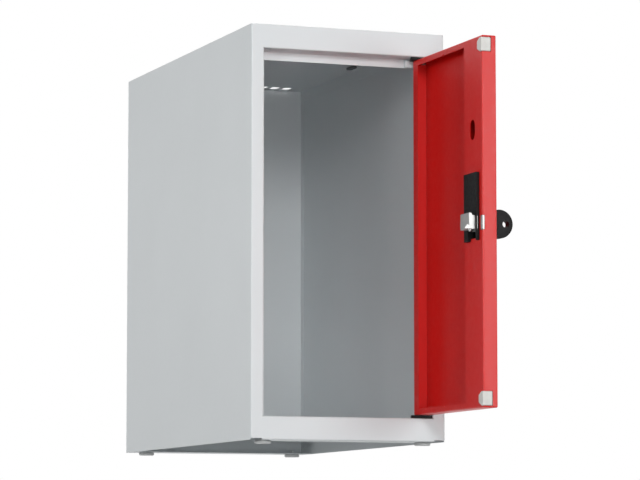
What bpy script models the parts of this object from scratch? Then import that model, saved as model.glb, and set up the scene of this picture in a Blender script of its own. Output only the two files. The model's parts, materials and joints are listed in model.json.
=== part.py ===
"""Locker top cabinet: a folded sheet-steel body with an inset door on pivot pins.

A knob outside the door turns a crank behind the skin, and the crank slides a bolt
through the door's free edge into a slot in the opposite post. The door stands open
at a right angle. Axes of the body: X across the front, Y from the front plane to
the back, Z up from the floor. Door pieces are drawn as the closed door lies, round
its pivot axis, and the door's empty turns them open.
"""

import math

import bmesh
import bpy

MM = 0.001

# Body
BODY_WIDTH = 250 * MM
BODY_DEPTH = 500 * MM
BODY_HEIGHT = 500 * MM
SHEET = 0.8 * MM
BEND = 1.6 * MM
SEAM = 0.3 * MM

# Front frame
POST_WIDTH = 16 * MM
POST_FOOT_RELIEF = 2 * MM
HEAD_HEIGHT = 29 * MM
SILL_HEIGHT = 28.4 * MM
STOP_DEPTH = 25.6 * MM
STOP_LIP = 9 * MM
STOP_STRIP = 10.5 * MM
SILL_RETURN = 40 * MM
FOOT_FLANGE = 38 * MM
SPARE_SEAT_WIDTH = 11 * MM
SPARE_SEAT_DEPTH = 10.5 * MM

# Panels
PANEL_FLANGE = 15 * MM
BACK_FLANGE = 9 * MM
REAR_RAIL_HEIGHT = 24 * MM

# Ceiling vents and plugs
VENT_COUNT = 12
VENT_PITCH = 17.2 * MM
VENT_WIDTH = 11.5 * MM
VENT_LENGTH = 18 * MM
VENT_CORNER = 3 * MM
VENT_FROM_BACK = 20.5 * MM
PLUG_WIDTH = 8 * MM
PLUG_LENGTH = 24 * MM
PLUG_RIM = 1.6 * MM
PLUG_THICKNESS = 2.4 * MM
PLUG_FROM_SIDE = 17 * MM
PLUG_FROM_FRONT = 268 * MM

# Feet
FOOT_HEIGHT = 4 * MM
FOOT_RADIUS = 10 * MM
FOOT_STEM_RADIUS = 3.2 * MM
FOOT_BARB_RADIUS = 3.6 * MM
FOOT_STEM_LENGTH = 6 * MM
FOOT_FROM_SIDE = 22 * MM
FOOT_FROM_FRONT = 19.5 * MM
FOOT_FROM_BACK = 20 * MM

# Door pan
HINGE_GAP = 3.2 * MM
LATCH_GAP = 3 * MM
DOOR_TOP_GAP = 3.7 * MM
DOOR_SILL_GAP = 4.1 * MM
DOOR_THICKNESS = 18 * MM
DOOR_OPEN_ANGLE = 90
STILE_WIDTH = 53.4 * MM
HINGE_LIP = 16 * MM
END_LIP = 7.5 * MM
LIP_NOTCH_RADIUS = 1.8 * MM
LIP_NOTCH_FROM_HINGE = 96.5 * MM
FREE_HOLE_WIDTH = 14 * MM
FREE_HOLE_HEIGHT = 23.5 * MM
FREE_HOLE_RISE = 110.2 * MM

# Pivots
PIVOT_FROM_EDGE = 5.3 * MM
PIVOT_FROM_FACE = 6.5 * MM
PIN_RADIUS = 3 * MM
PIN_HEAD_RADIUS = 4 * MM
PIN_HEAD_HEIGHT = 1.5 * MM
PIN_RUNNING_GAP = 0.25 * MM
BEARING_LENGTH = 27.5 * MM
BEARING_SLANT = 6 * MM
BEARING_DEPTH = 18 * MM
BEARING_SETBACK = 0.4 * MM
BEARING_BOSS_RADIUS = 5 * MM
BEARING_BOSS_HEIGHT = 7 * MM
HINGE_BRACKET_LENGTH = 26.4 * MM
HINGE_BRACKET_FRONT = 19.6 * MM
PIVOT_PLATE = 1.5 * MM
PIVOT_PLATE_LENGTH = 26 * MM
PIVOT_PLATE_DEPTH = 14 * MM

# Bumpers
BUMPER_HEIGHT = 16.7 * MM
BUMPER_NOSE = 1.2 * MM
BUMPER_INSET = 11.2 * MM
BUMPER_LENGTH = 13.5 * MM
BUMPER_PROUD = 0.5 * MM
BUMPER_TAPER_LENGTH = 7.5 * MM
BUMPER_TAPER_HEIGHT = 3.7 * MM
BUMPER_FROM_END = 2.4 * MM

# Lock, measured from the door's free edge and from the knob's axis
LOCK_DROP = 1.2 * MM
KNOB_FROM_EDGE = 29 * MM
CASE_WIDTH = 37.3 * MM
CASE_FROM_EDGE = 9.4 * MM
CASE_ABOVE = 58.5 * MM
CASE_BELOW = 21.2 * MM
CASE_PROUD = 3.8 * MM
CASE_RIM = 2.4 * MM
CASE_LEG = 3.5 * MM
CASE_FLOOR = 2.5 * MM
CHANNEL_FROM_EDGE = 12.7 * MM
CHANNEL_WIDTH = 22.2 * MM
CHANNEL_DEPTH = 6 * MM
LOCK_SCREW_CIRCLE = 15.5 * MM
LOCK_SCREW_RADIUS = 1.5 * MM
LOCK_SCREW_HEAD = 3 * MM
LOCK_SCREW_HEAD_HEIGHT = 2.2 * MM

# Knob, spindle and crank
ROSETTE_RADIUS = 21 * MM
ROSETTE_HEIGHT = 4.5 * MM
KNOB_RADIUS = 17 * MM
KNOB_CENTRE = 13.9 * MM
KNOB_THICKNESS = 10.8 * MM
KNOB_COLLAR_RADIUS = 16.5 * MM
KNOB_COLLAR_HEIGHT = 3.6 * MM
KNOB_SOFT_EDGE = 1 * MM
PADLOCK_HOLE_RADIUS = 4.2 * MM
PADLOCK_HOLE_REACH = 21.7 * MM
SPINDLE_SIZE = 8 * MM
SPINDLE_SOCKET = 7 * MM
CRANK_RADIUS = 12 * MM
CRANK_THICKNESS = 8 * MM
CRANK_PIN_RADIUS = 2 * MM
CRANK_SCREW_RADIUS = 2 * MM
CRANK_SCREW_HEAD = 4.5 * MM
CRANK_SCREW_HEAD_HEIGHT = 2.2 * MM
CRANK_SCREW_LENGTH = 7 * MM

# Bolt
BOLT_TRAVEL = 13 * MM
BOLT_PLATE = 1.2 * MM
BOLT_TIP_BELOW = 9.6 * MM
BOLT_TIP_ABOVE = 7.1 * MM
BOLT_TIP_LENGTH = 26 * MM
BOLT_TIP_SETBACK = 0.4 * MM
BOLT_PAD_LENGTH = 6.5 * MM
BOLT_NOTCH_LENGTH = 7.4 * MM
BOLT_FORK_ABOVE = 13.2 * MM
BOLT_FORK_END = 41.5 * MM
BOLT_HEAD_FROM_EDGE = 13.3 * MM
BOLT_HEAD_LENGTH = 25.9 * MM
BOLT_HEAD_BELOW = 8 * MM
BOLT_HEAD_ABOVE = 10.7 * MM
BOLT_HEAD_REACH = 11.5 * MM
BOLT_HEAD_CREST = 2.8 * MM
BOLT_HEAD_STEP = 2.6 * MM
BOLT_NECK_INSET = 3 * MM
BOLT_NECK_FROM_TIP_END = 12.3 * MM
BOLT_SLOT_GAP = 0.6 * MM
STRIKE_GAP = 1.6 * MM

# Round pieces
ARC_STEPS = 3
ROUND_STEPS = 32
PAST = 1 * MM

# Places in the body's frame
LEFT = -BODY_WIDTH / 2
RIGHT = BODY_WIDTH / 2
BASE = FOOT_HEIGHT
TOP = BASE + BODY_HEIGHT
OPENING_LEFT = LEFT + POST_WIDTH
OPENING_RIGHT = RIGHT - POST_WIDTH
HEAD_EDGE = TOP - HEAD_HEIGHT
SILL_EDGE = BASE + SILL_HEIGHT
STOP_BACK = STOP_DEPTH + SHEET
LID_UNDERSIDE = TOP - SHEET
FLOOR_LEVEL = SILL_EDGE - SHEET - SEAM
BACK_INSIDE = BODY_DEPTH - SHEET
LINING = SHEET + SEAM

# Places in the door's frame, with the pivot axis at zero
PIVOT_X = OPENING_RIGHT - HINGE_GAP - PIVOT_FROM_EDGE
PIVOT_Y = PIVOT_FROM_FACE
DOOR_WIDTH = OPENING_RIGHT - OPENING_LEFT - HINGE_GAP - LATCH_GAP
HINGE_EDGE = PIVOT_FROM_EDGE
FREE_EDGE = HINGE_EDGE - DOOR_WIDTH
FACE = -PIVOT_FROM_FACE
SKIN = FACE + SHEET
LIP = FACE + DOOR_THICKNESS
DOOR_TOP = HEAD_EDGE - DOOR_TOP_GAP
DOOR_BOTTOM = SILL_EDGE + DOOR_SILL_GAP
LOCK_X = FREE_EDGE + KNOB_FROM_EDGE
LOCK_Z = (DOOR_TOP + DOOR_BOTTOM) / 2 - LOCK_DROP

# Levels behind the door's skin, one piece above the other
CASE_BASE = SKIN + SEAM
CRANK_BASE = CASE_BASE + CASE_FLOOR + SEAM
CRANK_TOP = CRANK_BASE + CRANK_THICKNESS
BOLT_TOP = LIP - SHEET - SEAM
BOLT_BASE = BOLT_TOP - BOLT_PLATE
BOLT_PAD_TOP = LIP - SEAM / 3
CASE_TOP = LIP + CASE_PROUD
HEAD_BASE = CASE_TOP + SEAM
HEAD_TOP = LIP + BOLT_HEAD_REACH
CRANK_THROW = BOLT_TRAVEL / math.sqrt(2)
CRANK_REST = BOLT_TRAVEL / 2


def clear_scene():
    for old in list(bpy.data.objects):
        bpy.data.objects.remove(old, do_unlink=True)


def linear(channel):
    """One 0 to 255 screen channel as linear light."""
    value = channel / 255
    if value <= 0.04045:
        return value / 12.92
    return ((value + 0.055) / 1.055) ** 2.4


def material(name, colour, roughness, metallic=0.0):
    made = bpy.data.materials.new(name)
    made.use_nodes = True
    shader = made.node_tree.nodes["Principled BSDF"]
    shader.inputs["Base Color"].default_value = (*map(linear, colour), 1.0)
    shader.inputs["Roughness"].default_value = roughness
    shader.inputs["Metallic"].default_value = metallic
    return made


def empty(name, location, parent=None, turn=0.0):
    made = bpy.data.objects.new(name, None)
    made.location = location
    made.rotation_euler = (0, 0, turn)
    made.parent = parent
    bpy.context.collection.objects.link(made)
    return made


def rectangle(u0, v0, u1, v1):
    return [(u0, v0), (u1, v0), (u1, v1), (u0, v1)]


def arc(centre, radius, start, end, steps):
    """Points on an arc, angles in degrees."""
    points = []
    for step in range(steps + 1):
        angle = math.radians(start + (end - start) * step / steps)
        points.append((centre[0] + radius * math.cos(angle), centre[1] + radius * math.sin(angle)))
    return points


def disc(centre, radius, steps=ROUND_STEPS):
    return arc(centre, radius, 0, 360, steps)[:-1]


def rounded(u0, v0, u1, v1, radius):
    """A rectangle with round corners."""
    corners = [((u1 - radius, v1 - radius), 0), ((u0 + radius, v1 - radius), 90),
               ((u0 + radius, v0 + radius), 180), ((u1 - radius, v0 + radius), 270)]
    points = []
    for centre, start in corners:
        points += arc(centre, radius, start, start + 90, ARC_STEPS)
    return points


def fold(path, thickness=SHEET, bend=BEND):
    """Section of a bent sheet. The path is its outer face, and the sheet lies to the left of it."""
    outer = []
    inner = []

    def add(point, heading):
        outer.append(point)
        inner.append((point[0] - thickness * math.sin(heading), point[1] + thickness * math.cos(heading)))

    headings = [math.atan2(b[1] - a[1], b[0] - a[0]) for a, b in zip(path, path[1:])]
    add(path[0], headings[0])
    for corner, before, after in zip(path[1:-1], headings, headings[1:]):
        turn = math.remainder(after - before, 2 * math.pi)
        side = math.copysign(1, turn)
        tangent = bend * math.tan(abs(turn) / 2)
        start = (corner[0] - tangent * math.cos(before), corner[1] - tangent * math.sin(before))
        centre = (start[0] - side * bend * math.sin(before), start[1] + side * bend * math.cos(before))
        for step in range(ARC_STEPS + 1):
            heading = before + turn * step / ARC_STEPS
            add((centre[0] + side * bend * math.sin(heading),
                 centre[1] - side * bend * math.cos(heading)), heading)
    add(path[-1], headings[-1])
    return outer + inner[::-1]


def mirrored(outline):
    return [(-u, v) for u, v in outline]


def place(axis, u, v, w):
    """A point of a section (u, v) at w along its axis."""
    if axis == "X":
        return (w, u, v)
    if axis == "Y":
        return (u, w, v)
    return (u, v, w)


def add_prism(mesh, outline, axis, start, end):
    """Extrude a closed outline along an axis."""
    low = [mesh.verts.new(place(axis, u, v, start)) for u, v in outline]
    high = [mesh.verts.new(place(axis, u, v, end)) for u, v in outline]
    faces = [mesh.faces.new(low[::-1]), mesh.faces.new(high)]
    for i in range(len(outline)):
        j = (i + 1) % len(outline)
        faces.append(mesh.faces.new((low[i], low[j], high[j], high[i])))
    bmesh.ops.recalc_face_normals(mesh, faces=faces)


def prism(outline, axis, start, end):
    mesh = bmesh.new()
    add_prism(mesh, outline, axis, start, end)
    return mesh


def box(low, high):
    return prism(rectangle(low[0], low[1], high[0], high[1]), "Z", low[2], high[2])


def turned(profile, axis, centre, ring=False):
    """Revolve (radius, along) points. A ring's profile is closed, any other ends on its axis."""
    mesh = bmesh.new()
    loops = []
    for radius, along in profile:
        if radius == 0:
            loops.append([mesh.verts.new(place(axis, centre[0], centre[1], along))])
        else:
            loops.append([mesh.verts.new(place(axis, u, v, along)) for u, v in disc(centre, radius)])
    pairs = list(zip(loops, loops[1:]))
    if ring:
        pairs.append((loops[-1], loops[0]))
    for low, high in pairs:
        for i in range(ROUND_STEPS):
            j = (i + 1) % ROUND_STEPS
            corners = [low[i % len(low)], low[j % len(low)], high[j % len(high)], high[i % len(high)]]
            mesh.faces.new(list(dict.fromkeys(corners)))
    bmesh.ops.recalc_face_normals(mesh, faces=mesh.faces)
    return mesh


def solid(name, mesh, parent, finish):
    """One named piece of the product."""
    data = bpy.data.meshes.new(name)
    mesh.to_mesh(data)
    mesh.free()
    data.shade_smooth()
    data.set_sharp_from_angle(angle=math.radians(32))
    made = bpy.data.objects.new(name, data)
    made.parent = parent
    if finish:
        data.materials.append(finish)
    bpy.context.collection.objects.link(made)
    return made


def combine(piece, mesh, operation):
    tool = solid(f"{piece.name}_tool", mesh, piece.parent, None)
    tool.hide_render = True
    tool.display_type = "WIRE"
    modifier = piece.modifiers.new(tool.name, "BOOLEAN")
    modifier.operation = operation
    modifier.solver = "EXACT"
    modifier.object = tool


def cut(piece, mesh):
    combine(piece, mesh, "DIFFERENCE")


def join(piece, mesh):
    combine(piece, mesh, "UNION")


def soften(piece, width, segments=2):
    modifier = piece.modifiers.new("soft_edges", "BEVEL")
    modifier.width = width
    modifier.segments = segments
    modifier.limit_method = "ANGLE"
    modifier.angle_limit = math.radians(50)


def side_panel(name, side, parent, finish):
    """Side sheet with its front post, the post's return and the door stop folded on."""
    section = fold([(LEFT, BODY_DEPTH), (LEFT, 0), (OPENING_LEFT, 0), (OPENING_LEFT, STOP_DEPTH),
                    (OPENING_LEFT + STOP_LIP, STOP_DEPTH)])
    near = OPENING_LEFT - BEND
    far = OPENING_LEFT + STOP_LIP + PAST
    behind = STOP_BACK + PAST
    strip_edge = HEAD_EDGE - STOP_STRIP - SEAM
    trims = [
        (near, -PAST, far, behind, HEAD_EDGE - SEAM, TOP + PAST),
        (near, -PAST, far, behind, BASE - PAST, SILL_EDGE + SEAM),
        (near, STOP_DEPTH - BEND - SEAM, far, behind, strip_edge, HEAD_EDGE),
        (LEFT - PAST, -PAST, OPENING_LEFT, BEND + SHEET, BASE - PAST, BASE + POST_FOOT_RELIEF),
    ]
    if side > 0:
        section = mirrored(section)
    panel = solid(name, prism(section, "Z", BASE, TOP), parent, finish)
    for u0, v0, u1, v1, low, high in trims:
        outline = rectangle(u0, v0, u1, v1)
        if side > 0:
            outline = mirrored(outline)
        cut(panel, prism(outline, "Z", low, high))
    return panel


def cut_strike(panel):
    """Slot in the latch post for the bolt of the closed door, and a gap in its stop for the bolt's head."""
    low = PIVOT_Y + BOLT_BASE - STRIKE_GAP
    high = PIVOT_Y + BOLT_PAD_TOP + STRIKE_GAP
    cut(panel, box((OPENING_LEFT - SHEET - PAST, low, LOCK_Z - BOLT_TIP_BELOW - STRIKE_GAP),
                   (OPENING_LEFT + PAST, high, LOCK_Z + BOLT_TIP_ABOVE + STRIKE_GAP)))
    cut(panel, box((OPENING_LEFT + BEND, STOP_DEPTH - PAST, LOCK_Z - BOLT_HEAD_BELOW - STRIKE_GAP),
                   (OPENING_LEFT + STOP_LIP + PAST, STOP_BACK + PAST, LOCK_Z + BOLT_HEAD_ABOVE + STRIKE_GAP)))


def back_panel(parent, finish):
    """Back sheet let in between the sides, with a flange against each of them."""
    front = BODY_DEPTH - BACK_FLANGE
    section = fold([(RIGHT - LINING, front), (RIGHT - LINING, BODY_DEPTH), (LEFT + LINING, BODY_DEPTH),
                    (LEFT + LINING, front)])
    panel = solid("back_panel", prism(section, "Z", BASE, TOP), parent, finish)
    cut(panel, box((LEFT, front - PAST, LID_UNDERSIDE - SEAM), (RIGHT, BACK_INSIDE - SEAM / 2, TOP + PAST)))


def flanged_sheet(name, level, front, parent, finish):
    """Level sheet with a flange turned down against each side panel."""
    section = fold([(RIGHT - LINING, level - PANEL_FLANGE), (RIGHT - LINING, level),
                    (LEFT + LINING, level), (LEFT + LINING, level - PANEL_FLANGE)])
    return solid(name, prism(section, "Y", front, BACK_INSIDE - SEAM), parent, finish)


def clear_back_flanges(panel, level):
    """Make room at the rear corners for the back panel's flanges."""
    for side in (LEFT, RIGHT):
        reach = LINING + SHEET + SEAM
        cut(panel, box((side - reach, BODY_DEPTH - BACK_FLANGE - SEAM, level - PANEL_FLANGE - PAST),
                       (side + reach, BODY_DEPTH, level)))


def vent_slots():
    mesh = bmesh.new()
    y = BODY_DEPTH - VENT_FROM_BACK
    for index in range(VENT_COUNT):
        x = (index - (VENT_COUNT - 1) / 2) * VENT_PITCH
        outline = rounded(x - VENT_WIDTH / 2, y - VENT_LENGTH / 2, x + VENT_WIDTH / 2, y + VENT_LENGTH / 2,
                          VENT_CORNER)
        add_prism(mesh, outline, "Z", LID_UNDERSIDE - PAST, TOP + PAST)
    return mesh


def plug_outline(side, inset):
    x = side * (BODY_WIDTH / 2 - PLUG_FROM_SIDE)
    half_width = PLUG_WIDTH / 2 - inset
    half_length = PLUG_LENGTH / 2 - inset
    return rounded(x - half_width, PLUG_FROM_FRONT - half_length, x + half_width,
                   PLUG_FROM_FRONT + half_length, half_width * 0.99)


def top_panel(parent, finish):
    panel = flanged_sheet("top_panel", TOP, LINING, parent, finish)
    clear_back_flanges(panel, LID_UNDERSIDE - SEAM)
    cut(panel, vent_slots())
    for side in (-1, 1):
        cut(panel, prism(plug_outline(side, PLUG_RIM - SEAM), "Z", LID_UNDERSIDE - PAST, TOP + PAST))


def ceiling_plug(name, side, parent, finish):
    """Oblong cap that closes a joining slot in the top, pressed in from below."""
    rim_top = LID_UNDERSIDE - SEAM
    rim = prism(plug_outline(side, 0), "Z", rim_top - PLUG_THICKNESS, rim_top)
    plug = solid(name, rim, parent, finish)
    join(plug, prism(plug_outline(side, PLUG_RIM), "Z", rim_top - PLUG_THICKNESS / 2, TOP - SEAM))


def bottom_panel(parent, finish):
    panel = flanged_sheet("bottom_panel", FLOOR_LEVEL, STOP_BACK + SEAM, parent, finish)
    clear_back_flanges(panel, FLOOR_LEVEL + PAST)


def rail(name, path, parent, finish):
    """Front rail welded between the flat parts of the two posts."""
    half = OPENING_RIGHT + BEND - SEAM
    return solid(name, prism(fold(path), "X", -half, half), parent, finish)


def spare_seat(low, high):
    """Cut-out on the latch side for a bearing, for a door hung the other way."""
    x = OPENING_LEFT + SEAM
    y = BEND
    return box((x, y, low), (x + SPARE_SEAT_WIDTH, y + SPARE_SEAT_DEPTH, high))


def boss_hole(low, high):
    return prism(disc((PIVOT_X, PIVOT_Y), BEARING_BOSS_RADIUS + SEAM), "Z", low, high)


def head_rail(parent, finish):
    made = rail("head_rail", [(0, TOP), (0, HEAD_EDGE), (STOP_DEPTH, HEAD_EDGE),
                              (STOP_DEPTH, HEAD_EDGE - STOP_STRIP)], parent, finish)
    for side in (-1, 1):
        outline = rectangle(OPENING_RIGHT - SEAM, STOP_DEPTH - BEND - SEAM, RIGHT, STOP_BACK + PAST)
        if side < 0:
            outline = mirrored(outline)
        cut(made, prism(outline, "Z", HEAD_EDGE - STOP_STRIP - PAST, HEAD_EDGE + SHEET + PAST))
    cut(made, boss_hole(HEAD_EDGE - PAST, HEAD_EDGE + SHEET + PAST))
    cut(made, spare_seat(HEAD_EDGE - PAST, HEAD_EDGE + SHEET + PAST))


def foot_places():
    places = {}
    for end, y in (("front", FOOT_FROM_FRONT), ("rear", BODY_DEPTH - FOOT_FROM_BACK)):
        for hand, side in (("left", -1), ("right", 1)):
            places[f"foot_{end}_{hand}"] = (side * (BODY_WIDTH / 2 - FOOT_FROM_SIDE), y)
    return places


def stem_holes(end):
    mesh = bmesh.new()
    for name, centre in foot_places().items():
        if end in name:
            add_prism(mesh, disc(centre, FOOT_BARB_RADIUS + SEAM), "Z", BASE - PAST, BASE + SHEET + PAST)
    return mesh


def sill_rail(parent, finish):
    made = rail("sill_rail", [(SILL_RETURN, SILL_EDGE), (0, SILL_EDGE), (0, BASE), (FOOT_FLANGE, BASE)],
                parent, finish)
    cut(made, boss_hole(SILL_EDGE - SHEET - PAST, SILL_EDGE + PAST))
    cut(made, spare_seat(SILL_EDGE - SHEET - PAST, SILL_EDGE + PAST))
    cut(made, stem_holes("front"))


def rear_foot_rail(parent, finish):
    """Angle inside the foot of the back panel that carries the rear feet."""
    back = BACK_INSIDE - SEAM
    section = fold([(back - FOOT_FLANGE, BASE), (back, BASE), (back, BASE + REAR_RAIL_HEIGHT)])
    half = RIGHT - LINING - SHEET - SEAM
    made = solid("rear_foot_rail", prism(section, "X", -half, half), parent, finish)
    cut(made, stem_holes("rear"))


def foot(name, centre, parent, finish):
    """Plastic glide with a barbed stem pressed through its flange."""
    top = FOOT_HEIGHT - SEAM
    barb = BASE + SHEET + SEAM
    profile = [(0, 0), (FOOT_RADIUS * 0.9, 0), (FOOT_RADIUS, FOOT_HEIGHT * 0.25),
               (FOOT_RADIUS, FOOT_HEIGHT * 0.75), (FOOT_RADIUS * 0.93, top), (FOOT_STEM_RADIUS, top),
               (FOOT_STEM_RADIUS, barb), (FOOT_BARB_RADIUS, barb),
               (FOOT_STEM_RADIUS * 0.7, top + FOOT_STEM_LENGTH), (0, top + FOOT_STEM_LENGTH)]
    solid(name, turned(profile, "Z", centre), parent, finish)


def hinge_bearing(name, low, high, boss_low, boss_high, parent, finish):
    """Plastic plate in the gap over or under the door, with a bush for the pivot pin."""
    left = OPENING_RIGHT - BEARING_LENGTH
    right = OPENING_RIGHT - SEAM
    back = BEARING_SETBACK + BEARING_DEPTH
    plate = [(left, BEARING_SETBACK), (right, BEARING_SETBACK), (right, back), (left + BEARING_SLANT, back)]
    made = solid(name, prism(plate, "Z", low, high), parent, finish)
    join(made, prism(disc((PIVOT_X, PIVOT_Y), BEARING_BOSS_RADIUS), "Z", boss_low, boss_high))
    cut(made, prism(disc((PIVOT_X, PIVOT_Y), PIN_RADIUS + PIN_RUNNING_GAP), "Z",
                    min(low, boss_low) - PAST, max(high, boss_high) + PAST))


def hinge_bracket(parent, finish):
    """Small steel angle behind the upper bearing that stiffens the rail there."""
    near = OPENING_RIGHT - HINGE_BRACKET_LENGTH
    section = fold([(near, STOP_DEPTH - SEAM), (near, HINGE_BRACKET_FRONT),
                    (OPENING_RIGHT - 2 * SEAM, HINGE_BRACKET_FRONT)])
    low = HEAD_EDGE - STOP_STRIP
    solid("hinge_bracket", prism(section, "Z", low, HEAD_EDGE - BEND - SEAM), parent, finish)


def door_pan(parent, finish):
    """Door skin with folded edges, lips, and a box stile down the lock side."""
    pan = solid("door_pan", box((FREE_EDGE, FACE, DOOR_BOTTOM), (HINGE_EDGE, LIP, DOOR_TOP)), parent, finish)
    soften(pan, BEND, ARC_STEPS)
    stile_edge = FREE_EDGE + STILE_WIDTH
    low = DOOR_BOTTOM + SHEET
    high = DOOR_TOP - SHEET
    cut(pan, box((FREE_EDGE + SHEET, SKIN, low), (stile_edge - SHEET, LIP - SHEET, high)))
    cut(pan, box((stile_edge, SKIN, low), (HINGE_EDGE - SHEET, LIP - SHEET, high)))
    cut(pan, box((stile_edge, LIP - SHEET - PAST, DOOR_BOTTOM + END_LIP),
                 (HINGE_EDGE - HINGE_LIP, LIP + PAST, DOOR_TOP - END_LIP)))
    cut_lock_openings(pan)
    for name in ("bumper_top", "bumper_bottom"):
        cut(pan, bumper_block(name, SEAM))
    for level in (DOOR_BOTTOM, DOOR_TOP):
        cut(pan, prism(disc((0, 0), PIN_RADIUS + SEAM), "Z", level - SHEET - PAST, level + SHEET + PAST))
    for level in (DOOR_BOTTOM + END_LIP, DOOR_TOP - END_LIP):
        notch = disc((HINGE_EDGE - LIP_NOTCH_FROM_HINGE, level), LIP_NOTCH_RADIUS)
        cut(pan, prism(notch, "Y", LIP - SHEET - PAST, LIP + PAST))


def cut_lock_openings(pan):
    body = case_body()
    cut(pan, box((body[0] - SEAM, LIP - SHEET - PAST, body[1] - SEAM),
                 (body[2] + SEAM, LIP + PAST, body[3] + SEAM)))
    cut(pan, box((FREE_EDGE - PAST, BOLT_BASE - SEAM, LOCK_Z - BOLT_TIP_BELOW - SEAM),
                 (FREE_EDGE + BOLT_NOTCH_LENGTH, LIP + PAST, LOCK_Z + BOLT_TIP_ABOVE + SEAM)))
    x = LOCK_X
    z = LOCK_Z + FREE_HOLE_RISE
    cut(pan, prism(rounded(x - FREE_HOLE_WIDTH / 2, z - FREE_HOLE_HEIGHT / 2, x + FREE_HOLE_WIDTH / 2,
                           z + FREE_HOLE_HEIGHT / 2, FREE_HOLE_WIDTH * 0.49),
                   "Y", LIP - SHEET - PAST, LIP + PAST))
    cut(pan, prism(disc((LOCK_X, LOCK_Z), spindle_clearance()), "Y", FACE - PAST, SKIN + PAST))
    cut(pan, screw_holes(LOCK_SCREW_RADIUS + SEAM, FACE - PAST, SKIN + PAST))


def spindle_clearance():
    return SPINDLE_SIZE / math.sqrt(2) + 2 * SEAM


def pivot_plate(name, wall, inward, parent, finish):
    """Plate welded inside an end wall round the pin. Inward is -1 at the top wall and 1 at the bottom."""
    near = wall + inward * LINING
    far = near + inward * PIVOT_PLATE
    right = HINGE_EDGE - LINING
    outline = rounded(right - PIVOT_PLATE_LENGTH, SKIN + SEAM, right, SKIN + SEAM + PIVOT_PLATE_DEPTH, BEND)
    made = solid(name, prism(outline, "Z", min(near, far), max(near, far)), parent, finish)
    cut(made, prism(disc((0, 0), PIN_RADIUS + SEAM), "Z", min(near, far) - PAST, max(near, far) + PAST))


def pivot_pin(name, wall, inward, tip, parent, finish):
    """Headed pin put in from inside the door, which runs in the bearing."""
    seat = wall + inward * (LINING + PIVOT_PLATE + SEAM)
    end = seat + inward * PIN_HEAD_HEIGHT
    profile = [(0, end), (PIN_HEAD_RADIUS, end), (PIN_HEAD_RADIUS, seat),
               (PIN_RADIUS, seat), (PIN_RADIUS, tip), (0, tip)]
    solid(name, turned(profile, "Z", (0, 0)), parent, finish)


def bumper_outline(name, grow):
    """Bumper seen from inside the door, tapered away from the free edge."""
    middle = DOOR_TOP - BUMPER_FROM_END - BUMPER_HEIGHT / 2
    if name == "bumper_bottom":
        middle = DOOR_BOTTOM + BUMPER_FROM_END + BUMPER_HEIGHT / 2
    half = BUMPER_HEIGHT / 2 + grow
    tip = half - BUMPER_TAPER_HEIGHT
    near = FREE_EDGE - BUMPER_PROUD - grow
    far = FREE_EDGE - BUMPER_PROUD + BUMPER_LENGTH + grow
    taper = far - BUMPER_TAPER_LENGTH
    return [(near, middle - half), (taper, middle - half), (far, middle - tip),
            (far, middle + tip), (taper, middle + half), (near, middle + half)]


def bumper_block(name, grow):
    return prism(bumper_outline(name, grow), "Y", LIP - BUMPER_INSET - grow, LIP + BUMPER_NOSE + grow)


def bumper(name, parent, finish):
    """Plastic buffer let into a free corner of the door, its nose proud of the lip."""
    solid(name, bumper_block(name, 0), parent, finish)


def case_body():
    """Lock case inside the stile: low and high corner along X and Z."""
    left = FREE_EDGE + CASE_FROM_EDGE + CASE_RIM
    right = FREE_EDGE + CASE_FROM_EDGE + CASE_WIDTH - CASE_RIM
    return left, LOCK_Z - CASE_BELOW + CASE_LEG, right, LOCK_Z + CASE_ABOVE - CASE_RIM


def screw_places():
    reach = LOCK_SCREW_CIRCLE / math.sqrt(2)
    return {"lock_screw_outer": (LOCK_X - reach, LOCK_Z + reach),
            "lock_screw_inner": (LOCK_X + reach, LOCK_Z + reach)}


def screw_holes(radius, start, end):
    mesh = bmesh.new()
    for centre in screw_places().values():
        add_prism(mesh, disc(centre, radius), "Y", start, end)
    return mesh


def lock_case(parent, finish):
    """Housing let into the stile, with the crank's chamber and an open channel below the bolt's head."""
    left, low, right, high = case_body()
    edge = FREE_EDGE + CASE_FROM_EDGE
    foot = LOCK_Z - CASE_BELOW
    plate = rounded(edge, foot, edge + CASE_WIDTH, LOCK_Z + CASE_ABOVE, SHEET)
    case = solid("lock_case", prism(plate, "Y", LIP + SEAM, CASE_TOP), parent, finish)
    join(case, prism(rectangle(left, low, right, high), "Y", CASE_BASE, LIP + CASE_PROUD / 2))
    floor = CASE_BASE + CASE_FLOOR
    cut(case, prism(disc((LOCK_X, LOCK_Z), CRANK_RADIUS + PAST), "Y", floor, BOLT_BASE))
    cut_bolt_guide(case)
    channel = FREE_EDGE + CHANNEL_FROM_EDGE
    cut(case, prism(rectangle(channel, foot - PAST, channel + CHANNEL_WIDTH, neck_outline()[1]),
                    "Y", LIP - CHANNEL_DEPTH, CASE_TOP + PAST))
    cut(case, prism(disc((LOCK_X, LOCK_Z), spindle_clearance()), "Y", CASE_BASE - PAST, floor + PAST))
    cut(case, screw_holes(LOCK_SCREW_HEAD + SEAM, floor, BOLT_BASE))
    cut(case, screw_holes(LOCK_SCREW_RADIUS + SEAM, CASE_BASE - PAST, floor + PAST))


def cut_bolt_guide(case):
    """Room for the bolt's plate inside the stile and a window for its neck, over the whole travel."""
    cut(case, box((FREE_EDGE + CASE_FROM_EDGE, BOLT_BASE - SEAM, LOCK_Z - BOLT_TIP_BELOW - SEAM),
                  (FREE_EDGE + BOLT_FORK_END + SEAM, BOLT_TOP + SEAM, LOCK_Z + BOLT_FORK_ABOVE + SEAM)))
    neck = neck_outline()
    window = rectangle(neck[0] - BOLT_TRAVEL - 2 * SEAM, neck[1] - 2 * SEAM,
                       neck[2] + 2 * SEAM, neck[3] + 2 * SEAM)
    cut(case, prism(window, "Y", BOLT_BASE, CASE_TOP + PAST))


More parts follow.
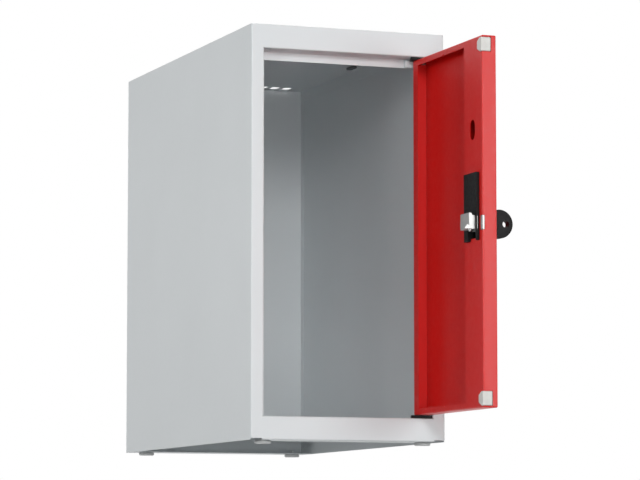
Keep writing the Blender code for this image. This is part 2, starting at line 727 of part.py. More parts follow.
def lock_screw(name, centre, parent, finish):
    seat = CASE_BASE + CASE_FLOOR + SEAM
    tip = FACE - SEAM - ROSETTE_HEIGHT * 0.7
    profile = [(0, tip), (LOCK_SCREW_RADIUS, tip), (LOCK_SCREW_RADIUS, seat), (LOCK_SCREW_HEAD, seat),
               (LOCK_SCREW_HEAD, seat + LOCK_SCREW_HEAD_HEIGHT), (0, seat + LOCK_SCREW_HEAD_HEIGHT)]
    solid(name, turned(profile, "Y", centre), parent, finish)


def lock_rosette(parent, finish):
    """Round shield under the knob, held by the screws of the case."""
    near = FACE - SEAM
    far = near - ROSETTE_HEIGHT
    profile = [(spindle_clearance(), near), (ROSETTE_RADIUS, near),
               (ROSETTE_RADIUS, near - ROSETTE_HEIGHT * 0.4), (ROSETTE_RADIUS - ROSETTE_HEIGHT * 0.6, far),
               (spindle_clearance(), far)]
    made = solid("lock_rosette", turned(profile, "Y", (LOCK_X, LOCK_Z), ring=True), parent, finish)
    cut(made, screw_holes(LOCK_SCREW_RADIUS + SEAM, near - ROSETTE_HEIGHT * 0.8, near + PAST))


def square(size):
    half = size / 2
    return rectangle(-half, -half, half, half)


def knob(parent, finish):
    """Round finger fin on a collar, pierced for a padlock. Outwards is -Y, from the skin's face."""
    base = -(ROSETTE_HEIGHT + 2 * SEAM)
    open_half = math.degrees(math.acos((KNOB_CENTRE + base) / KNOB_RADIUS))
    outline = arc((-KNOB_CENTRE, 0), KNOB_RADIUS, open_half, 360 - open_half, ROUND_STEPS)
    made = solid("knob", prism(outline, "X", -KNOB_THICKNESS / 2, KNOB_THICKNESS / 2), parent, finish)
    soften(made, KNOB_SOFT_EDGE)
    top = base - KNOB_COLLAR_HEIGHT
    collar = [(0, base), (KNOB_COLLAR_RADIUS, base), (KNOB_COLLAR_RADIUS, base - KNOB_COLLAR_HEIGHT * 0.6),
              (KNOB_COLLAR_RADIUS - KNOB_COLLAR_HEIGHT * 0.6, top), (0, top)]
    join(made, turned(collar, "Y", (0, 0)))
    eye = disc((-PADLOCK_HOLE_REACH, 0), PADLOCK_HOLE_RADIUS)
    cut(made, prism(eye, "X", -KNOB_THICKNESS, KNOB_THICKNESS))
    cut(made, prism(square(SPINDLE_SIZE + 2 * SEAM), "Y", base - SPINDLE_SOCKET, base + PAST))


def spindle(parent, finish):
    """Square bar from the knob's socket to the crank."""
    outer = -(ROSETTE_HEIGHT + 2 * SEAM + SPINDLE_SOCKET - SEAM)
    inner = CRANK_TOP - FACE - SEAM
    made = solid("spindle", prism(square(SPINDLE_SIZE), "Y", outer, inner), parent, finish)
    cut(made, prism(disc((0, 0), CRANK_SCREW_RADIUS + SEAM), "Y",
                    inner - CRANK_SCREW_LENGTH - SEAM, inner + PAST))


def lock_crank(parent, finish):
    """Disc on the spindle whose pin runs in the bolt's fork."""
    low = CRANK_BASE - FACE
    high = CRANK_TOP - FACE
    made = solid("lock_crank", prism(disc((0, 0), CRANK_RADIUS), "Y", low, high), parent, finish)
    pin_end = BOLT_TOP - FACE - SEAM
    pin = disc((CRANK_REST, CRANK_REST), CRANK_PIN_RADIUS)
    join(made, prism(pin, "Y", high - CRANK_THICKNESS / 2, pin_end))
    cut(made, prism(square(SPINDLE_SIZE + 2 * SEAM), "Y", low - PAST, high + PAST))


def crank_screw(parent, finish):
    seat = CRANK_TOP - FACE + SEAM
    tip = seat - CRANK_SCREW_LENGTH
    profile = [(0, tip), (CRANK_SCREW_RADIUS, tip), (CRANK_SCREW_RADIUS, seat), (CRANK_SCREW_HEAD, seat),
               (CRANK_SCREW_HEAD, seat + CRANK_SCREW_HEAD_HEIGHT), (0, seat + CRANK_SCREW_HEAD_HEIGHT)]
    solid("crank_screw", turned(profile, "Y", (0, 0)), parent, finish)


def neck_outline():
    """Bolt's neck in the case's window: low and high corner along X and Z, with the bolt drawn back."""
    left = FREE_EDGE + BOLT_HEAD_FROM_EDGE + BOLT_NECK_FROM_TIP_END
    right = FREE_EDGE + BOLT_HEAD_FROM_EDGE + BOLT_HEAD_LENGTH - BOLT_NECK_INSET
    return left, LOCK_Z - BOLT_HEAD_BELOW + BOLT_NECK_INSET, right, LOCK_Z + BOLT_HEAD_ABOVE - BOLT_NECK_INSET


def head_outline():
    """Section of the bolt's head, with a step at the top towards the case."""
    low = LOCK_Z - BOLT_HEAD_BELOW
    high = LOCK_Z + BOLT_HEAD_ABOVE
    crest = HEAD_TOP - BOLT_HEAD_CREST
    return [(HEAD_BASE, low), (HEAD_TOP, low), (HEAD_TOP, high), (crest, high),
            (crest - BOLT_HEAD_STEP / 2, high - BOLT_HEAD_STEP), (HEAD_BASE, high - BOLT_HEAD_STEP)]


def bolt(parent, finish):
    """Flat bolt with a raised tip, a forked plate round the crank's pin and a head that shows on the case."""
    tip = FREE_EDGE + BOLT_TIP_SETBACK
    step = FREE_EDGE + BOLT_TIP_LENGTH
    neck = neck_outline()
    low = LOCK_Z - BOLT_TIP_BELOW
    fork = LOCK_Z + BOLT_FORK_ABOVE
    high = LOCK_Z + BOLT_TIP_ABOVE
    end = FREE_EDGE + BOLT_FORK_END
    plate = [(tip, low), (end, low), (end, fork), (step, fork), (step, high), (tip, high)]
    made = solid("bolt", prism(plate, "Y", BOLT_BASE, BOLT_TOP), parent, finish)
    join(made, box((tip, BOLT_BASE + BOLT_PLATE / 2, low), (tip + BOLT_PAD_LENGTH, BOLT_PAD_TOP, high)))
    join(made, prism(rectangle(*neck), "Y", BOLT_BASE + BOLT_PLATE / 2, HEAD_BASE + BOLT_PLATE))
    head_left = FREE_EDGE + BOLT_HEAD_FROM_EDGE
    join(made, prism(head_outline(), "X", head_left, head_left + BOLT_HEAD_LENGTH))
    slot = CRANK_PIN_RADIUS + BOLT_SLOT_GAP
    pin_x = LOCK_X + CRANK_REST
    cut(made, box((pin_x - slot, BOLT_BASE - PAST, LOCK_Z + CRANK_REST - slot),
                  (pin_x + slot, BOLT_TOP + SEAM, LOCK_Z + CRANK_THROW + slot)))


def body_pieces(cabinet):
    paint = material("grey_powder_coat", (206, 208, 208), 0.45)
    black = material("black_plastic", (30, 30, 32), 0.5)
    glide = material("grey_glide_plastic", (182, 184, 184), 0.5)
    cut_strike(side_panel("left_side_panel", -1, cabinet, paint))
    side_panel("right_side_panel", 1, cabinet, paint)
    back_panel(cabinet, paint)
    top_panel(cabinet, paint)
    bottom_panel(cabinet, paint)
    head_rail(cabinet, paint)
    sill_rail(cabinet, paint)
    rear_foot_rail(cabinet, paint)
    hinge_bracket(cabinet, paint)
    for name, centre in foot_places().items():
        foot(name, centre, cabinet, glide)
    ceiling_plug("ceiling_plug_left", -1, cabinet, black)
    ceiling_plug("ceiling_plug_right", 1, cabinet, black)
    hinge_bearing("hinge_bearing_top", DOOR_TOP + SEAM, HEAD_EDGE - SEAM,
                  HEAD_EDGE - SHEET, HEAD_EDGE + BEARING_BOSS_HEIGHT, cabinet, black)
    hinge_bearing("hinge_bearing_bottom", SILL_EDGE + SEAM, DOOR_BOTTOM - SEAM,
                  SILL_EDGE - BEARING_BOSS_HEIGHT, SILL_EDGE + SHEET, cabinet, black)


def door_pieces(door):
    paint = material("red_powder_coat", (186, 30, 26), 0.4)
    steel = material("zinc_steel", (176, 176, 172), 0.35, 1.0)
    black = material("black_lock_plastic", (34, 34, 36), 0.5)
    bumper_grey = material("grey_bumper_plastic", (208, 208, 205), 0.5)
    door_pan(door, paint)
    ends = (("top", DOOR_TOP, -1, HEAD_EDGE + BEARING_BOSS_HEIGHT),
            ("bottom", DOOR_BOTTOM, 1, SILL_EDGE - BEARING_BOSS_HEIGHT))
    for end, wall, inward, tip in ends:
        pivot_plate(f"pivot_plate_{end}", wall, inward, door, steel)
        pivot_pin(f"pivot_pin_{end}", wall, inward, tip, door, steel)
        bumper(f"bumper_{end}", door, bumper_grey)
    lock_case(door, black)
    lock_rosette(door, black)
    for name, centre in screw_places().items():
        lock_screw(name, centre, door, steel)


def lock_pieces(knob_axis, bolt_guide):
    steel = material("spindle_steel", (176, 176, 172), 0.35, 1.0)
    nickel = material("nickel_bolt", (214, 214, 210), 0.22, 1.0)
    black = material("black_knob_plastic", (36, 37, 38), 0.42)
    knob(knob_axis, black)
    spindle(knob_axis, steel)
    lock_crank(knob_axis, steel)
    crank_screw(knob_axis, steel)
    bolt(bolt_guide, nickel)


def footprint_middle():
    """Middle of the box round the cabinet and its open door, on the floor."""
    right = max(RIGHT, PIVOT_X - FACE + KNOB_CENTRE + KNOB_RADIUS)
    front = PIVOT_Y + FREE_EDGE - BUMPER_PROUD
    return (LEFT + right) / 2, (front + BODY_DEPTH) / 2


def main():
    clear_scene()
    x, y = footprint_middle()
    cabinet = empty("cabinet_frame", (-x, -y, 0))
    door = empty("door_axis", (PIVOT_X, PIVOT_Y, 0), cabinet, math.radians(DOOR_OPEN_ANGLE))
    knob_axis = empty("knob_axis", (LOCK_X, FACE, LOCK_Z), door)
    bolt_guide = empty("bolt_guide", (0, 0, 0), door)
    body_pieces(cabinet)
    door_pieces(door)
    lock_pieces(knob_axis, bolt_guide)


main()
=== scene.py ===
import json
import math

import bmesh
import bpy
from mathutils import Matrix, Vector


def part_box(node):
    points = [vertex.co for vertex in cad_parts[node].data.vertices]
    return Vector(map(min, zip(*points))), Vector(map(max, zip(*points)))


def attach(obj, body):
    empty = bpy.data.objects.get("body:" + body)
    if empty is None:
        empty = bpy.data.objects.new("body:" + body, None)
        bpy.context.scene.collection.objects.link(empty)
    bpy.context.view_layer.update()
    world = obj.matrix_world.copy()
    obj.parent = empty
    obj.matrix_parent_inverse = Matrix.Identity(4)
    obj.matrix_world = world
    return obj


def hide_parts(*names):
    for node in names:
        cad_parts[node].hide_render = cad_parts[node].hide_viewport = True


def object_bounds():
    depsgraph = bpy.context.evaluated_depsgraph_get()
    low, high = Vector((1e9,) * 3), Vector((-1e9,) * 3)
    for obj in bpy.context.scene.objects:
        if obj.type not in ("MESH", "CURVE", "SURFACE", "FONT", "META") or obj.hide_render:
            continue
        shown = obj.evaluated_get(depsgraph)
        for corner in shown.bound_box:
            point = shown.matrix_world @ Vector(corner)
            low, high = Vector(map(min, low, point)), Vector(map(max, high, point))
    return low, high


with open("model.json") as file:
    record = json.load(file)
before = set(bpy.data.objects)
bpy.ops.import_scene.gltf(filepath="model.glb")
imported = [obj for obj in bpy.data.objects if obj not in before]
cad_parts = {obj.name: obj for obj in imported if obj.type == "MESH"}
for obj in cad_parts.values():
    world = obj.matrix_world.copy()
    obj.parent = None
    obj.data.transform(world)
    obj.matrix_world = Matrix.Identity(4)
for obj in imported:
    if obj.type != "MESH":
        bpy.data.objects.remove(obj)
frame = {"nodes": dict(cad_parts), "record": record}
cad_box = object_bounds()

MM = 0.001

# Camera, fitted to the cabinet's corners in the photograph
CAMERA_PLACE = (-1.37217, -3.67165, -0.13801)
CAMERA_HEADING = 20.666
CAMERA_PITCH = 5.809
CAMERA_LENS = 176.78
CAMERA_REACH = 100
SENSOR_WIDTH = 36

# Floor: its glow, which only the camera sees, rises from FLOOR_GLOW to white between two distances
FLOOR_SIZE = 12
FLOOR_DROP = 0.5 * MM
FLOOR_PAINT = 0.45
FLOOR_ROUGHNESS = 0.9
FLOOR_GLOW = 0.6
GLOW_NEAR = 0.5
GLOW_FAR = 1.8
WHITE = (1, 1, 1, 1)

# Faint light from all round: its strength above and below, and where it changes
SKY_ABOVE = 0.06
SKY_BELOW = 0.1
HORIZON_LOW = -0.25
HORIZON_HIGH = 0.35

# Where the lamps point
FRONT_MIDDLE = (0, 0, 0.25)
BODY_MIDDLE = (0, 0.1, 0.25)
SIDE_MIDDLE = (-0.1, 0.1, 0.4)
DOOR_MIDDLE = (0, -0.2, 0.25)
BASE_MIDDLE = (0, 0.1, 0)
INSIDE_FOOT = (0.118, 0.17, 0)

# Screen colours of the finishes, 0 to 255
GREY_PAINT = (217, 222, 224)
RED_PAINT = (208, 13, 7)
BLACK_PLASTIC = (8, 8, 9)
PLUG_GREY = (96, 98, 100)
GLIDE_GREY = (206, 208, 208)
BUMPER_GREY = (218, 217, 213)
ZINC = (176, 177, 176)
NICKEL = (178, 178, 177)

# Lowest and highest roughness of the finishes
PAINT_ROUGHNESS = (0.38, 0.46)
BLACK_ROUGHNESS = (0.5, 0.62)
GLIDE_ROUGHNESS = (0.45, 0.55)
BUMPER_ROUGHNESS = (0.4, 0.5)
ZINC_ROUGHNESS = (0.3, 0.42)
NICKEL_ROUGHNESS = (0.42, 0.54)

# Specular level of the finishes that aren't metal
PAINT_GLOSS = 0.5
PLASTIC_GLOSS = 0.35
BLACK_GLOSS = 0.2

# Powder paint: clouds of tone, orange peel, fine grain and patches of gloss
CLOUD_SCALE = 7.0
CLOUD_CONTRAST = 0.015
PEEL_SCALE = 420.0
PEEL_HEIGHT = 0.08 * MM
PEEL_STRENGTH = 0.5
GRAIN_SCALE = 1500.0
GRAIN_HEIGHT = 0.03 * MM
GRAIN_STRENGTH = 0.4
PAINT_PATCH_SCALE = 160.0

# Moulded plastic: clouds of tone, spark-eroded grain and patches of gloss
TONE_SCALE = 60.0
TONE_CONTRAST = 0.07
SPARK_SCALE = 2600.0
SPARK_HEIGHT = 0.04 * MM
SPARK_STRENGTH = 0.5
PLASTIC_PATCH_SCALE = 300.0

# Plated metal: draw marks along Y and faint tarnish
DRAW_SCALE = (2500.0, 90.0, 2500.0)
DRAW_HEIGHT = 0.02 * MM
DRAW_STRENGTH = 0.35
TARNISH_SCALE = 240.0
TARNISH_SHADE = 0.92

# Detail of the noise, and the span in which most of its values lie
PLAIN_DETAIL = 2.0
FINE_DETAIL = 3.0
NOISE_SPAN = (0.3, 0.7)

# Radius of the edges of the mouldings, of the bolt and of the pivot plates
SOFT_EDGES = {
    "knob": 0.5 * MM,
    "lock_rosette": 0.4 * MM,
    "lock_case": 0.5 * MM,
    "bolt": 0.35 * MM,
    "bumper_top": 1.3 * MM,
    "bumper_bottom": 1.3 * MM,
    "foot_front_left": 0.8 * MM,
    "foot_front_right": 0.8 * MM,
    "foot_rear_left": 0.8 * MM,
    "foot_rear_right": 0.8 * MM,
    "hinge_bearing_top": 0.3 * MM,
    "hinge_bearing_bottom": 0.3 * MM,
    "ceiling_plug_left": 0.3 * MM,
    "ceiling_plug_right": 0.3 * MM,
    "pivot_plate_top": 0.2 * MM,
    "pivot_plate_bottom": 0.2 * MM,
}
# Plates that are welded in and get the door's paint
PAINTED_OVER = {"pivot_plate_top": "red_paint", "pivot_plate_bottom": "red_paint"}
EDGE_STEPS = 3
CREASE = math.radians(30)
FLAT = math.radians(1)
WELD_LIMIT = 0.002 * MM

# Bolt's head, measured from the bolt's tip end and from its lowest edge
HEAD_FROM_TIP = 12.9 * MM
HEAD_ABOVE_FOOT = 1.6 * MM

# Thumb tab on the head: its ridge and root as shares of its reach and height
TAB_THICKNESS = 2.6 * MM
TAB_REACH = 6.3 * MM
TAB_HEIGHT = 5.4 * MM
TAB_RIDGE = 0.4
TAB_ROOT_HEIGHT = 0.62
TAB_OVERLAP = 0.2 * MM

# Grub screw under the head: its cone starts and ends at this share of its length and radius
GRUB_FROM_FACE = 6.4 * MM
GRUB_INSET = 3.7 * MM
GRUB_RADIUS = 2.3 * MM
GRUB_LENGTH = 2.6 * MM
GRUB_CONE = 0.45
TURN_STEPS = 24

# Edge of the steel clip in the lock case's side, from the case's face and from the spindle
CLIP_FROM_FACE = 0.9 * MM
CLIP_WIDTH = 0.45 * MM
CLIP_CHAMFER = CLIP_WIDTH / 4
CLIP_PROUD = 0.12 * MM
CLIP_DEPTH = 0.6 * MM
CLIP_BELOW = 7.9 * MM
CLIP_ABOVE = 6.7 * MM

# Welded joints between the posts and the rails
WELD_GAP = 0.3 * MM
WELD_HALF = 0.21 * MM
WELD_CROWN_HALF = 0.084 * MM
WELD_CROWN = 0.02 * MM
WELD_DEPTH = 0.7 * MM
HEAD_FACE = 29.0 * MM
SILL_FACE = 28.4 * MM


def linear(channel):
    """One 0 to 255 screen channel as linear light."""
    value = channel / 255
    if value <= 0.04045:
        return value / 12.92
    return ((value + 0.055) / 1.055) ** 2.4


def colour(screen, shade=1.0):
    return (*(min(1.0, linear(channel) * shade) for channel in screen), 1.0)


class Shader:
    """A Principled material that is built up node by node, in the object's own coordinates."""

    def __init__(self, name):
        self.material = bpy.data.materials.new(name)
        self.material.use_nodes = True
        self.tree = self.material.node_tree
        self.surface = self.tree.nodes["Principled BSDF"]
        self.place = self.tree.nodes.new("ShaderNodeTexCoord").outputs["Object"]

    def set(self, socket, value):
        self.surface.inputs[socket].default_value = value

    def stretched(self, scale):
        node = self.tree.nodes.new("ShaderNodeMapping")
        node.inputs["Scale"].default_value = scale
        self.tree.links.new(self.place, node.inputs["Vector"])
        return node.outputs["Vector"]

    def noise(self, scale, detail=PLAIN_DETAIL, place=None):
        node = self.tree.nodes.new("ShaderNodeTexNoise")
        node.inputs["Scale"].default_value = scale
        node.inputs["Detail"].default_value = detail
        self.tree.links.new(place or self.place, node.inputs["Vector"])
        return node.outputs["Fac"]

    def spread(self, value, low, high):
        """Map a noise value from its usual span to the wanted one."""
        node = self.tree.nodes.new("ShaderNodeMapRange")
        node.inputs["From Min"].default_value = NOISE_SPAN[0]
        node.inputs["From Max"].default_value = NOISE_SPAN[1]
        node.inputs["To Min"].default_value = low
        node.inputs["To Max"].default_value = high
        self.tree.links.new(value, node.inputs["Value"])
        return node.outputs["Result"]

    def blend(self, factor, first, second):
        node = self.tree.nodes.new("ShaderNodeMix")
        node.data_type = "RGBA"
        # The colour version of this node has its sockets at these places
        node.inputs[6].default_value = first
        node.inputs[7].default_value = second
        self.tree.links.new(factor, node.inputs[0])
        return node.outputs[2]

    def bump(self, height, distance, strength, under=None):
        node = self.tree.nodes.new("ShaderNodeBump")
        node.inputs["Strength"].default_value = strength
        node.inputs["Distance"].default_value = distance
        self.tree.links.new(height, node.inputs["Height"])
        if under:
            self.tree.links.new(under, node.inputs["Normal"])
        return node.outputs["Normal"]

    def finish(self, base, roughness, normal):
        self.tree.links.new(base, self.surface.inputs["Base Color"])
        self.tree.links.new(roughness, self.surface.inputs["Roughness"])
        self.tree.links.new(normal, self.surface.inputs["Normal"])
        return self.material


def powder_coat(name, screen):
    """Baked powder paint: a fine orange peel, faint clouds of tone and uneven gloss."""
    shader = Shader(name)
    shader.set("Specular IOR Level", PAINT_GLOSS)
    clouds = shader.spread(shader.noise(CLOUD_SCALE, FINE_DETAIL), 0.0, 1.0)
    dark = colour(screen, 1 - CLOUD_CONTRAST)
    light = colour(screen, 1 + CLOUD_CONTRAST)
    base = shader.blend(clouds, dark, light)
    peel = shader.bump(shader.noise(PEEL_SCALE), PEEL_HEIGHT, PEEL_STRENGTH)
    grain = shader.bump(shader.noise(GRAIN_SCALE), GRAIN_HEIGHT, GRAIN_STRENGTH, peel)
    patches = shader.spread(shader.noise(PAINT_PATCH_SCALE), *PAINT_ROUGHNESS)
    return shader.finish(base, patches, grain)


def moulded_plastic(name, screen, roughness, gloss=PLASTIC_GLOSS):
    """Injection-moulded plastic with a fine spark-eroded grain."""
    shader = Shader(name)
    shader.set("Specular IOR Level", gloss)
    tone = shader.spread(shader.noise(TONE_SCALE, FINE_DETAIL), 0.0, 1.0)
    dark = colour(screen, 1 - TONE_CONTRAST)
    light = colour(screen, 1 + TONE_CONTRAST)
    base = shader.blend(tone, dark, light)
    grain = shader.bump(shader.noise(SPARK_SCALE), SPARK_HEIGHT, SPARK_STRENGTH)
    patches = shader.spread(shader.noise(PLASTIC_PATCH_SCALE), *roughness)
    return shader.finish(base, patches, grain)


def plated_metal(name, screen, roughness):
    """Plated steel with fine lengthwise draw marks."""
    shader = Shader(name)
    shader.set("Metallic", 1.0)
    marks = shader.noise(1.0, FINE_DETAIL, shader.stretched(DRAW_SCALE))
    tarnish = shader.spread(shader.noise(TARNISH_SCALE), 0.0, 1.0)
    base = shader.blend(tarnish, colour(screen, TARNISH_SHADE), colour(screen))
    scratches = shader.bump(marks, DRAW_HEIGHT, DRAW_STRENGTH)
    return shader.finish(base, shader.spread(marks, *roughness), scratches)


FINISHES = {
    "grey_paint": powder_coat("grey_powder_coat", GREY_PAINT),
    "red_paint": powder_coat("red_powder_coat", RED_PAINT),
    "black_plastic": moulded_plastic("black_moulding", BLACK_PLASTIC, BLACK_ROUGHNESS,
                                     BLACK_GLOSS),
    "glide_plastic": moulded_plastic("glide_moulding", GLIDE_GREY, GLIDE_ROUGHNESS),
    "bumper_plastic": moulded_plastic("bumper_moulding", BUMPER_GREY, BUMPER_ROUGHNESS),
    "zinc_steel": plated_metal("zinc_plating", ZINC, ZINC_ROUGHNESS),
    "bright_steel": plated_metal("nickel_plating", NICKEL, NICKEL_ROUGHNESS),
}
# The ceiling plugs are a paler black than the lock
PLUGS = ("ceiling_plug_left", "ceiling_plug_right")
PLUG_FINISH = moulded_plastic("plug_moulding", PLUG_GREY, BLACK_ROUGHNESS, BLACK_GLOSS)

RECORD = frame["record"]
SLOT_OF = {part["node"]: part["material_slot"] for part in RECORD["subparts"]}
BODY_OF = {node: body for body, nodes in RECORD["behaviour"]["bodies"].items() for node in nodes}


def dress_frame():
    """Give every CAD node the finish of its slot."""
    for name, slot in SLOT_OF.items():
        materials = frame["nodes"][name].data.materials
        materials.clear()
        materials.append(FINISHES[slot])


def add_piece(name, mesh, body, slot):
    """Turn a finished bmesh into a piece that rides on a body."""
    bmesh.ops.recalc_face_normals(mesh, faces=mesh.faces)
    for face in mesh.faces:
        face.smooth = True
    data = bpy.data.meshes.new(name)
    mesh.to_mesh(data)
    mesh.free()
    data.set_sharp_from_angle(angle=CREASE)
    data.materials.append(FINISHES[slot])
    piece = bpy.data.objects.new(name, data)
    bpy.context.collection.objects.link(piece)
    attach(piece, body)
    return piece


def round_edges(piece, radius):
    bevel = piece.modifiers.new("rounded_edges", "BEVEL")
    bevel.width = radius
    bevel.segments = EDGE_STEPS
    bevel.limit_method = "ANGLE"
    bevel.angle_limit = CREASE
    bevel.harden_normals = True


def soften(node, radius):
    """A stand-in for a CAD node with rounded edges."""
    mesh = bmesh.new()
    mesh.from_mesh(frame["nodes"][node].data)
    bmesh.ops.remove_doubles(mesh, verts=mesh.verts, dist=WELD_LIMIT)
    bmesh.ops.dissolve_limit(mesh, angle_limit=FLAT, verts=mesh.verts, edges=mesh.edges)
    slot = PAINTED_OVER.get(node, SLOT_OF[node])
    piece = add_piece(node + "_moulded", mesh, BODY_OF[node], slot)
    if node in PLUGS:
        piece.data.materials[0] = PLUG_FINISH
    round_edges(piece, radius)
    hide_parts(node)


def prism(outline, axis, start, end):
    """Closed bmesh of an (X, Z) outline drawn out along Y, or of an (X, Y) outline along Z."""
    order = {"Y": (0, 2, 1), "Z": (0, 1, 2)}[axis]
    mesh = bmesh.new()
    rings = []
    for level in (start, end):
        ring = []
        for point in outline:
            values = (*point, level)
            ring.append(mesh.verts.new([values[index] for index in order]))
        rings.append(ring)
    first, last = rings
    mesh.faces.new(first)
    mesh.faces.new(last)
    for index in range(len(outline)):
        following = (index + 1) % len(outline)
        mesh.faces.new((first[index], first[following], last[following], last[index]))
    return mesh


def turned(profile, centre):
    """Closed bmesh of a (radius, height) profile turned about a vertical axis, with ends on it."""
    mesh = bmesh.new()
    turns = [2 * math.pi * step / TURN_STEPS for step in range(TURN_STEPS)]
    rings = []
    for radius, height in profile[1:-1]:
        ring = []
        for turn in turns:
            x = centre[0] + radius * math.cos(turn)
            y = centre[1] + radius * math.sin(turn)
            ring.append(mesh.verts.new((x, y, height)))
        rings.append(ring)
    for lower, upper in zip(rings, rings[1:]):
        for step in range(TURN_STEPS):
            following = (step + 1) % TURN_STEPS
            mesh.faces.new((lower[step], lower[following], upper[following], upper[step]))
    for ring, (_, height) in ((rings[0], profile[0]), (rings[-1], profile[-1])):
        pole = mesh.verts.new((*centre, height))
        for step in range(TURN_STEPS):
            mesh.faces.new((ring[step], ring[(step + 1) % TURN_STEPS], pole))
    return mesh


def dress_bolt():
    """Thumb tab on the bolt's head and the grub screw under it."""
    low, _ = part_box("bolt")
    near = low.y + HEAD_FROM_TIP
    foot = low.z + HEAD_ABOVE_FOOT
    face = low.x
    ridge = TAB_REACH * TAB_RIDGE
    tab = [(face - TAB_REACH, foot), (face - ridge, foot + TAB_HEIGHT),
           (face + ridge, foot + TAB_HEIGHT * TAB_ROOT_HEIGHT), (face + ridge, foot)]
    mesh = prism(tab, "Y", near - TAB_OVERLAP, near + TAB_THICKNESS)
    piece = add_piece("bolt_thumb_tab", mesh, "bolt", "bright_steel")
    round_edges(piece, SOFT_EDGES["bolt"])
    top = foot + GRUB_RADIUS
    tip = foot - GRUB_LENGTH
    profile = [(0, top), (GRUB_RADIUS, top), (GRUB_RADIUS, foot - GRUB_LENGTH * GRUB_CONE),
               (GRUB_RADIUS * GRUB_CONE, tip), (0, tip)]
    mesh = turned(profile, (face + GRUB_INSET, near + GRUB_FROM_FACE))
    add_piece("bolt_grub_screw", mesh, "bolt", "bright_steel")


def dress_case():
    """Bright edge of the clip that holds the case in the stile."""
    low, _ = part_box("lock_case")
    shaft_low, shaft_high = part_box("spindle")
    middle = (shaft_low.z + shaft_high.z) / 2
    near = low.x + CLIP_FROM_FACE
    far = near + CLIP_WIDTH
    front = low.y - CLIP_PROUD
    root = low.y + CLIP_DEPTH
    edge = [(near, root), (near, low.y), (near + CLIP_CHAMFER, front), (far - CLIP_CHAMFER, front),
            (far, low.y), (far, root)]
    mesh = prism(edge, "Z", middle - CLIP_BELOW, middle + CLIP_ABOVE)
    add_piece("lock_case_clip", mesh, "door", "zinc_steel")


def weld_joint(name, x, front, low, high):
    """Ground and painted weld that closes the joint between a post and a rail."""
    root = front + WELD_DEPTH
    crown = front - WELD_CROWN
    outline = [(x - WELD_HALF, root), (x - WELD_HALF, front), (x - WELD_CROWN_HALF, crown),
               (x + WELD_CROWN_HALF, crown), (x + WELD_HALF, front), (x + WELD_HALF, root)]
    add_piece(name, prism(outline, "Z", low, high), "cabinet", "grey_paint")


def weld_rails():
    for rail, height in (("head_rail", HEAD_FACE), ("sill_rail", SILL_FACE)):
        low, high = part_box(rail)
        foot = high.z - height if rail == "head_rail" else low.z
        for hand, x in (("left", low.x - WELD_GAP / 2), ("right", high.x + WELD_GAP / 2)):
            weld_joint(f"{rail}_weld_{hand}", x, low.y, foot, foot + height)


def add_camera():
    data = bpy.data.cameras.new("photo_camera")
    data.lens = CAMERA_LENS
    data.sensor_width = SENSOR_WIDTH
    data.clip_end = CAMERA_REACH
    camera = bpy.data.objects.new("photo_camera", data)
    camera.location = CAMERA_PLACE
    camera.rotation_euler = (math.radians(90 + CAMERA_PITCH), 0, math.radians(-CAMERA_HEADING))
    bpy.context.collection.objects.link(camera)
    bpy.context.scene.camera = camera


def add_light(name, place, aim, size, power, mirrored=True):
    """Softbox that the camera doesn't see. Glossy surfaces show it only if it is mirrored."""
    data = bpy.data.lights.new(name, "AREA")
    data.shape = "RECTANGLE"
    data.size, data.size_y = size
    data.energy = power
    lamp = bpy.data.objects.new(name, data)
    lamp.location = place
    lamp.rotation_euler = (Vector(aim) - Vector(place)).to_track_quat("-Z", "Y").to_euler()
    lamp.visible_camera = False
    lamp.visible_glossy = mirrored
    bpy.context.collection.objects.link(lamp)


def seen_rays(tree):
    """1 for rays that show the background: from the camera, off gloss and through glass."""
    path = tree.nodes.new("ShaderNodeLightPath")
    total = path.outputs["Is Camera Ray"]
    for name in ("Is Glossy Ray", "Is Transmission Ray"):
        both = tree.nodes.new("ShaderNodeMath")
        both.operation = "MAXIMUM"
        tree.links.new(total, both.inputs[0])
        tree.links.new(path.outputs[name], both.inputs[1])
        total = both.outputs[0]
    return total


def add_world():
    """White behind the object. For light, a faint glow that is a little stronger from below."""
    world = bpy.data.worlds.new("studio")
    world.use_nodes = True
    tree = world.node_tree
    bpy.context.scene.world = world
    light = tree.nodes["Background"]
    place = tree.nodes.new("ShaderNodeTexCoord")
    split = tree.nodes.new("ShaderNodeSeparateXYZ")
    tree.links.new(place.outputs["Generated"], split.inputs[0])
    height = tree.nodes.new("ShaderNodeMapRange")
    height.inputs["From Min"].default_value = HORIZON_LOW
    height.inputs["From Max"].default_value = HORIZON_HIGH
    height.inputs["To Min"].default_value = SKY_BELOW
    height.inputs["To Max"].default_value = SKY_ABOVE
    tree.links.new(split.outputs["Z"], height.inputs["Value"])
    tree.links.new(height.outputs["Result"], light.inputs["Strength"])
    light.inputs["Color"].default_value = WHITE
    white = tree.nodes.new("ShaderNodeBackground")
    white.inputs["Color"].default_value = WHITE
    mix = tree.nodes.new("ShaderNodeMixShader")
    tree.links.new(seen_rays(tree), mix.inputs[0])
    tree.links.new(light.outputs[0], mix.inputs[1])
    tree.links.new(white.outputs[0], mix.inputs[2])
    tree.links.new(mix.outputs[0], tree.nodes["World Output"].inputs["Surface"])


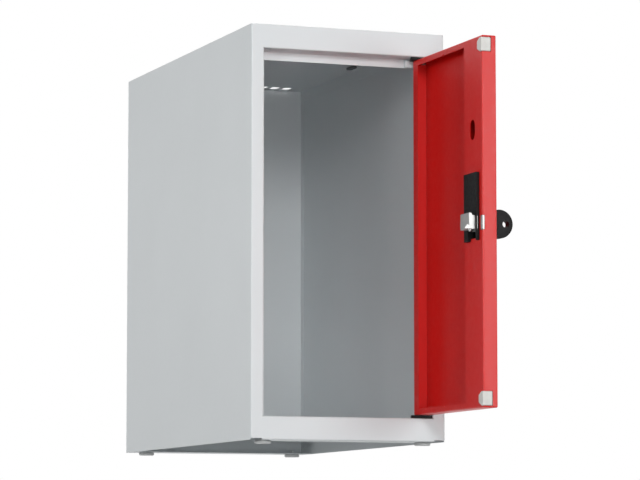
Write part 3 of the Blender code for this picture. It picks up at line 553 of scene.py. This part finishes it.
def floor_paint():
    """Pale floor for the camera above it, and nothing for other rays or for a camera below."""
    paint = bpy.data.materials.new("studio_floor")
    paint.use_nodes = True
    tree = paint.node_tree
    surface = tree.nodes["Principled BSDF"]
    surface.inputs["Base Color"].default_value = (FLOOR_PAINT, FLOOR_PAINT, FLOOR_PAINT, 1)
    surface.inputs["Roughness"].default_value = FLOOR_ROUGHNESS
    surface.inputs["Emission Color"].default_value = WHITE
    place = tree.nodes.new("ShaderNodeTexCoord")
    away = tree.nodes.new("ShaderNodeVectorMath")
    away.operation = "LENGTH"
    tree.links.new(place.outputs["Object"], away.inputs[0])
    glow = tree.nodes.new("ShaderNodeMapRange")
    glow.inputs["From Min"].default_value = GLOW_NEAR
    glow.inputs["From Max"].default_value = GLOW_FAR
    glow.inputs["To Min"].default_value = FLOOR_GLOW
    glow.inputs["To Max"].default_value = 1.0
    tree.links.new(away.outputs["Value"], glow.inputs["Value"])
    tree.links.new(glow.outputs["Result"], surface.inputs["Emission Strength"])
    path = tree.nodes.new("ShaderNodeLightPath")
    side = tree.nodes.new("ShaderNodeNewGeometry")
    front = tree.nodes.new("ShaderNodeMath")
    front.operation = "SUBTRACT"
    front.use_clamp = True
    tree.links.new(path.outputs["Is Camera Ray"], front.inputs[0])
    tree.links.new(side.outputs["Backfacing"], front.inputs[1])
    clear = tree.nodes.new("ShaderNodeBsdfTransparent")
    mix = tree.nodes.new("ShaderNodeMixShader")
    tree.links.new(front.outputs[0], mix.inputs[0])
    tree.links.new(clear.outputs[0], mix.inputs[1])
    tree.links.new(surface.outputs[0], mix.inputs[2])
    tree.links.new(mix.outputs[0], tree.nodes["Material Output"].inputs["Surface"])
    return paint


def add_floor():
    """Floor with the object's shadow, just under the feet."""
    mesh = bmesh.new()
    bmesh.ops.create_grid(mesh, x_segments=1, y_segments=1, size=FLOOR_SIZE)
    data = bpy.data.meshes.new("floor")
    mesh.to_mesh(data)
    mesh.free()
    floor = bpy.data.objects.new("floor", data)
    floor.location.z = cad_box[0].z - FLOOR_DROP
    bpy.context.collection.objects.link(floor)
    data.materials.append(floor_paint())


def add_lights():
    """Softboxes fitted to the photograph, a small one inside, and three for the other sides."""
    add_light("key_light", place=(-0.7, -3.2, 1.0), aim=FRONT_MIDDLE, size=(0.6, 0.6), power=23)
    add_light("upper_light", place=(-1.2, -2.8, 1.5), aim=FRONT_MIDDLE, size=(1.2, 1.0), power=11)
    add_light("near_light", place=(-0.65, -3.3, 0.4), aim=FRONT_MIDDLE, size=(0.4, 1.0), power=5)
    add_light("low_light", place=(-0.8, -3.2, -0.4), aim=FRONT_MIDDLE, size=(0.35, 0.6), power=10)
    add_light("right_light", place=(1.3, -3.1, 0.5), aim=FRONT_MIDDLE, size=(1.0, 1.2), power=29)
    add_light("left_light", place=(-2.7, -1.8, 0.5), aim=FRONT_MIDDLE, size=(1.2, 1.2), power=20)
    add_light("door_light", place=(-3.0, -0.3, 0.5), aim=DOOR_MIDDLE, size=(0.3, 0.8), power=12)
    add_light("side_light", place=(-1.4, 0.9, 0.4), aim=SIDE_MIDDLE, size=(0.8, 0.3), power=4)
    add_light("under_light", place=(-0.3, 0.6, -2.0), aim=BASE_MIDDLE, size=(1.6, 1.6), power=12)
    add_light("top_light", place=(0.2, 0.4, 2.6), aim=BODY_MIDDLE, size=(1.2, 1.2), power=15,
              mirrored=False)
    add_light("back_light", place=(1.2, 3.0, 1.5), aim=BODY_MIDDLE, size=(1.6, 1.6), power=50,
              mirrored=False)
    add_light("fill_light", place=(3.2, 0.2, 1.0), aim=FRONT_MIDDLE, size=(1.6, 1.6), power=50,
              mirrored=False)
    add_light("inside_light", place=(-0.115, 0.17, 0.09), aim=INSIDE_FOOT, size=(0.3, 0.06),
              power=0.045, mirrored=False)


def add_studio():
    bpy.context.scene.view_settings.view_transform = "Standard"
    add_camera()
    add_world()
    add_floor()
    add_lights()


dress_frame()
for node, radius in SOFT_EDGES.items():
    soften(node, radius)
dress_bolt()
dress_case()
weld_rails()
add_studio()
